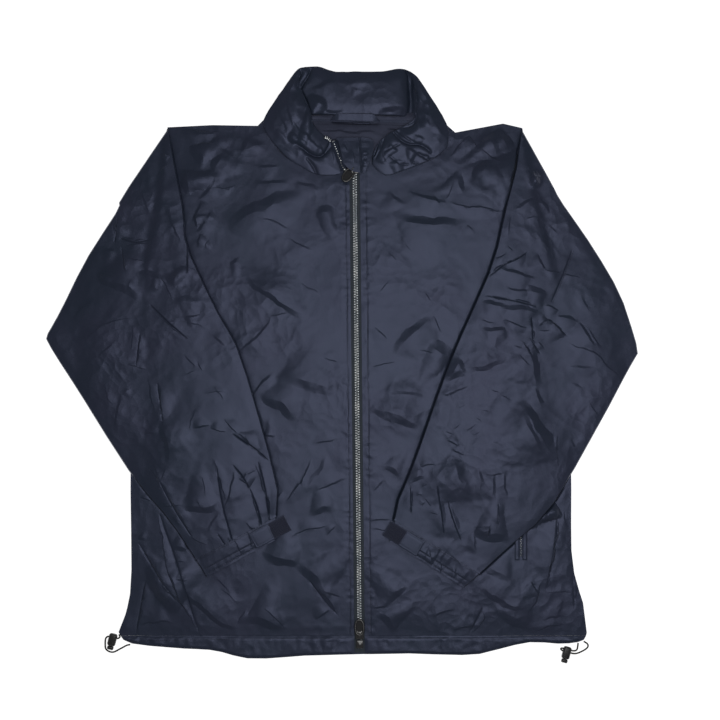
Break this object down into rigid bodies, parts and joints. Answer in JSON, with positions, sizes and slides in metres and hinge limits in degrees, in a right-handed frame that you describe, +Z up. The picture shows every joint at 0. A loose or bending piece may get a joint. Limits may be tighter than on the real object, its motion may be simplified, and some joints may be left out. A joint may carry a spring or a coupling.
{
  "type": "lightweight parka",
  "caption": "Nylon hip-length parka laid flat on its back, zipped, sleeves brought in over the front, with a padded stand collar, elastic cuffs and a corded hem.",
  "frame": {"origin": "on the surface that the garment lies on, under the middle of its overall box", "axes": "+Z up off the surface and out of the front of the garment, +Y from the hem to the collar, +X to the wearer's left"},
  "size_m": [0.798, 0.7999, 0.0269],
  "materials": {
    "shell": "navy nylon plain weave, slight sheen",
    "lining": "navy lining cloth, matt",
    "zip_tape": "woven zip tape, near black",
    "zip_teeth": "grey metal teeth",
    "hardware": "black nickel",
    "hook_tape": "hook and loop tape, dark navy",
    "toggle": "moulded black plastic",
    "shock_cord": "braided elastic cord, dark grey"
  },
  "bodies": {
    "parka": {"back": "shell", "front_left": "shell", "front_right": "shell", "hem_back": "shell", "hem_left": "shell", "hem_right": "shell", "sleeve_left": "shell", "sleeve_right": "shell", "cuff_left": "shell", "cuff_right": "shell", "cuff_tab_left": "shell", "cuff_tab_right": "shell", "collar": "shell", "zip_guard": "shell", "pocket_welt_aft_left": "shell", "pocket_welt_aft_right": "shell", "pocket_welt_fore_left": "shell", "pocket_welt_fore_right": "shell", "back_neck_facing": "lining", "hanger_loop": "lining", "zip_tape_left": "zip_tape", "zip_tape_right": "zip_tape", "zip_chain": "zip_teeth", "zip_chain_parted": "zip_teeth", "pocket_zip_left": "zip_teeth", "pocket_zip_right": "zip_teeth", "zip_slider_top": "hardware", "zip_slider_foot": "hardware", "zip_box": "hardware", "hook_pad_left": "hook_tape", "hook_pad_right": "hook_tape", "cord_lock_left": "toggle", "cord_lock_right": "toggle", "lock_button_left": "toggle", "lock_button_right": "toggle", "hem_cord_left": "shock_cord", "hem_cord_right": "shock_cord"},
    "pull_top": {"zip_pull_top": "hardware"},
    "pull_foot": {"zip_pull_foot": "hardware"}
  },
  "joints": [
    {"name": "pull_top_hinge", "type": "hinge", "parent": "parka", "child": "pull_top", "pos_m": [0.01444, 0.2625, 0.0105], "axis": [-0.809, 0.5878, 0], "range_deg": [0, 120]},
    {"name": "pull_foot_hinge", "type": "hinge", "parent": "parka", "child": "pull_foot", "pos_m": [0.02371, -0.3645, 0.00863], "axis": [0.9999, 0.0108, 0], "range_deg": [0, 150]}
  ]
}
